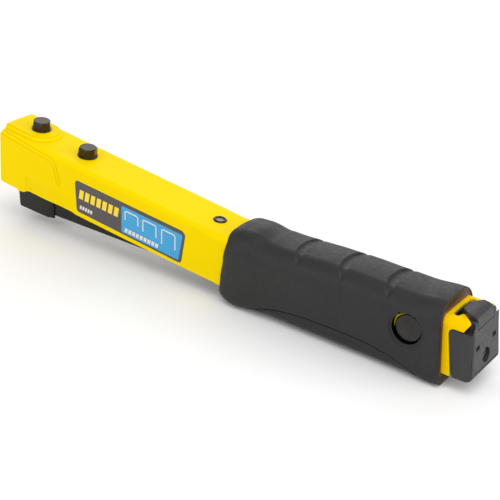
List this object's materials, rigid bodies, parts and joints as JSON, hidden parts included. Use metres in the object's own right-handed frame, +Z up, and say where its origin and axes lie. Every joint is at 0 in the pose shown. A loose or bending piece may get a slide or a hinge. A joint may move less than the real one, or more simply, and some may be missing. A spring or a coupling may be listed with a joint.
{
  "type": "staple gun",
  "caption": "Hammer-type staple gun: sloped steel head on a channel handle with a rubber grip, and a sprung magazine that swings up to drive a staple.",
  "frame": {"origin": "centre of the tool's length and width, at the level of the grip's lowest point", "axes": "+X from the head to the rear cap, +Y across the tool to the side without the label, +Z up through the handle's top"},
  "size_m": [0.329, 0.0386, 0.0668],
  "materials": {
    "yellow_paint": "smooth satin powder coat",
    "black_steel": "black oxide, satin",
    "label_film": "printed film, satin",
    "grip_rubber": "soft matt rubber",
    "black_paint": "satin black coat",
    "weight_steel": "milled, phosphated",
    "bright_steel": "ground",
    "spring_steel": "drawn wire",
    "bronze": "sintered",
    "cap_plastic": "moulded, fine texture"
  },
  "bodies": {
    "frame": {"body_frame": "yellow_paint", "driver_block": "weight_steel", "driver_blade": "bright_steel", "blade_screws": "black_steel", "hex_bolts": "black_steel", "top_rivet": "black_steel", "side_label": "label_film", "rubber_grip": "grip_rubber", "pivot_pin": "black_steel", "pivot_cap": "black_steel", "stop_pin": "bright_steel", "return_spring": "spring_steel"},
    "magazine": {"magazine_housing": "black_paint", "nose_shoe": "black_paint", "pivot_bush": "bronze", "spring_cup": "bright_steel"},
    "rail": {"staple_rail": "bright_steel", "rail_block": "weight_steel", "guide_rod": "bright_steel", "end_cap": "cap_plastic", "cap_screw": "bright_steel", "latch_pin": "bright_steel", "latch_spring": "spring_steel", "pusher_spring": "spring_steel"},
    "pusher": {"pusher": "bright_steel"},
    "latch": {"latch_lever": "cap_plastic"}
  },
  "joints": [
    {"name": "magazine_swing", "type": "hinge", "parent": "frame", "child": "magazine", "pos_m": [0.1271, 0, 0.0266], "axis": [0, 1, 0], "range_deg": [0, 3], "stiffness_Nm_per_rad": 26, "springref_deg": -7.28, "deforming": ["return_spring"]},
    {"name": "rail_slide", "type": "slide", "parent": "magazine", "child": "rail", "axis": [1, 0, 0], "range_m": [0, 0.18]},
    {"name": "pusher_slide", "type": "slide", "parent": "rail", "child": "pusher", "axis": [1, 0, 0], "range_m": [0, 0.105], "stiffness_N_per_m": 60, "springref_m": -0.15, "deforming": ["pusher_spring"]},
    {"name": "latch_press", "type": "hinge", "parent": "rail", "child": "latch", "pos_m": [0.1571, 0, 0.0376], "axis": [0, -1, 0], "range_deg": [0, 8], "stiffness_Nm_per_rad": 0.06, "springref_deg": -22.92, "deforming": ["latch_spring"]}
  ]
}
